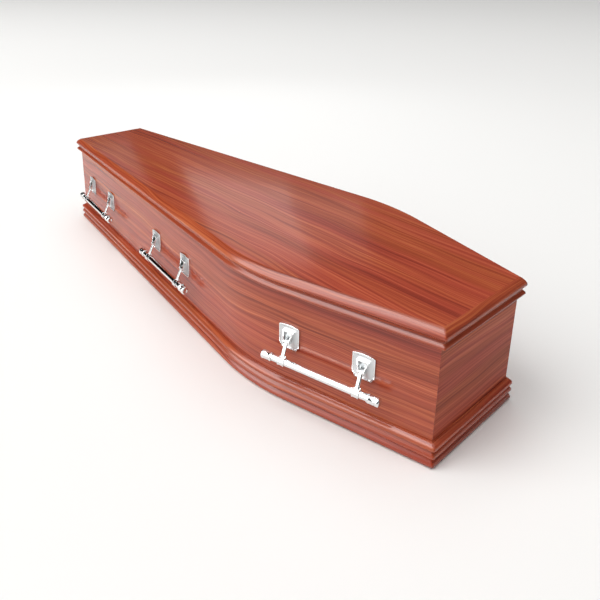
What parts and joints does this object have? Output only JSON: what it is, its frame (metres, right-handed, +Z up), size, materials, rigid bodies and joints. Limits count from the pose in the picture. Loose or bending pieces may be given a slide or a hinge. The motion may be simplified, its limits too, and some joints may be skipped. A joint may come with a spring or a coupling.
{
  "type": "wooden coffin",
  "caption": "Shouldered wooden coffin with reeded plinth, moulded lift-off lid and swinging bar handles.",
  "frame": {"origin": "centre of the bounding box in plan, on the floor under the base board", "axes": "+X along the length towards the head end, +Y to the left side seen from the foot, +Z up"},
  "size_m": [1.913, 0.6528, 0.3688],
  "materials": {
    "mahogany_foil": "glossy reddish mahogany foil on board",
    "chipboard": "raw, matt",
    "chrome_plating": "mirror bright"
  },
  "bodies": {
    "coffin": {"base_board": "chipboard", "left_side_panel": "mahogany_foil", "right_side_panel": "mahogany_foil", "head_panel": "mahogany_foil", "foot_panel": "mahogany_foil", "plinth_moulding_right": "mahogany_foil", "plinth_moulding_head": "mahogany_foil", "plinth_moulding_left": "mahogany_foil", "plinth_moulding_foot": "mahogany_foil", "lid_board": "mahogany_foil", "lid_moulding_right": "mahogany_foil", "lid_moulding_head": "mahogany_foil", "lid_moulding_left": "mahogany_foil", "lid_moulding_foot": "mahogany_foil", "left_foot_handle_plate_1": "chrome_plating", "left_foot_handle_plate_2": "chrome_plating", "left_middle_handle_plate_1": "chrome_plating", "left_middle_handle_plate_2": "chrome_plating", "left_head_handle_plate_1": "chrome_plating", "left_head_handle_plate_2": "chrome_plating", "right_foot_handle_plate_1": "chrome_plating", "right_foot_handle_plate_2": "chrome_plating", "right_middle_handle_plate_1": "chrome_plating", "right_middle_handle_plate_2": "chrome_plating", "right_head_handle_plate_1": "chrome_plating", "right_head_handle_plate_2": "chrome_plating"},
    "left_foot_handle": {"left_foot_handle_bar": "chrome_plating", "left_foot_handle_arm_1": "chrome_plating", "left_foot_handle_arm_2": "chrome_plating", "left_foot_handle_cap_1": "chrome_plating", "left_foot_handle_cap_2": "chrome_plating"},
    "left_middle_handle": {"left_middle_handle_bar": "chrome_plating", "left_middle_handle_arm_1": "chrome_plating", "left_middle_handle_arm_2": "chrome_plating", "left_middle_handle_cap_1": "chrome_plating", "left_middle_handle_cap_2": "chrome_plating"},
    "left_head_handle": {"left_head_handle_bar": "chrome_plating", "left_head_handle_arm_1": "chrome_plating", "left_head_handle_arm_2": "chrome_plating", "left_head_handle_cap_1": "chrome_plating", "left_head_handle_cap_2": "chrome_plating"},
    "right_foot_handle": {"right_foot_handle_bar": "chrome_plating", "right_foot_handle_arm_1": "chrome_plating", "right_foot_handle_arm_2": "chrome_plating", "right_foot_handle_cap_1": "chrome_plating", "right_foot_handle_cap_2": "chrome_plating"},
    "right_middle_handle": {"right_middle_handle_bar": "chrome_plating", "right_middle_handle_arm_1": "chrome_plating", "right_middle_handle_arm_2": "chrome_plating", "right_middle_handle_cap_1": "chrome_plating", "right_middle_handle_cap_2": "chrome_plating"},
    "right_head_handle": {"right_head_handle_bar": "chrome_plating", "right_head_handle_arm_1": "chrome_plating", "right_head_handle_arm_2": "chrome_plating", "right_head_handle_cap_1": "chrome_plating", "right_head_handle_cap_2": "chrome_plating"}
  },
  "joints": [
    {"name": "left_foot_handle_swing", "type": "hinge", "parent": "coffin", "child": "left_foot_handle", "pos_m": [-0.70309, 0.18387, 0.185], "axis": [0.9937, 0.1123, 0], "range_deg": [0, 70]},
    {"name": "left_middle_handle_swing", "type": "hinge", "parent": "coffin", "child": "left_middle_handle", "pos_m": [-0.05721, 0.25689, 0.185], "axis": [0.9937, 0.1123, 0], "range_deg": [0, 70]},
    {"name": "left_head_handle_swing", "type": "hinge", "parent": "coffin", "child": "left_head_handle", "pos_m": [0.66233, 0.25382, 0.185], "axis": [0.9694, -0.2457, 0], "range_deg": [0, 70]},
    {"name": "right_foot_handle_swing", "type": "hinge", "parent": "coffin", "child": "right_foot_handle", "pos_m": [-0.70309, -0.18387, 0.185], "axis": [-0.9937, 0.1123, 0], "range_deg": [0, 70]},
    {"name": "right_middle_handle_swing", "type": "hinge", "parent": "coffin", "child": "right_middle_handle", "pos_m": [-0.05721, -0.25689, 0.185], "axis": [-0.9937, 0.1123, 0], "range_deg": [0, 70]},
    {"name": "right_head_handle_swing", "type": "hinge", "parent": "coffin", "child": "right_head_handle", "pos_m": [0.66233, -0.25382, 0.185], "axis": [-0.9694, -0.2457, 0], "range_deg": [0, 70]}
  ]
}
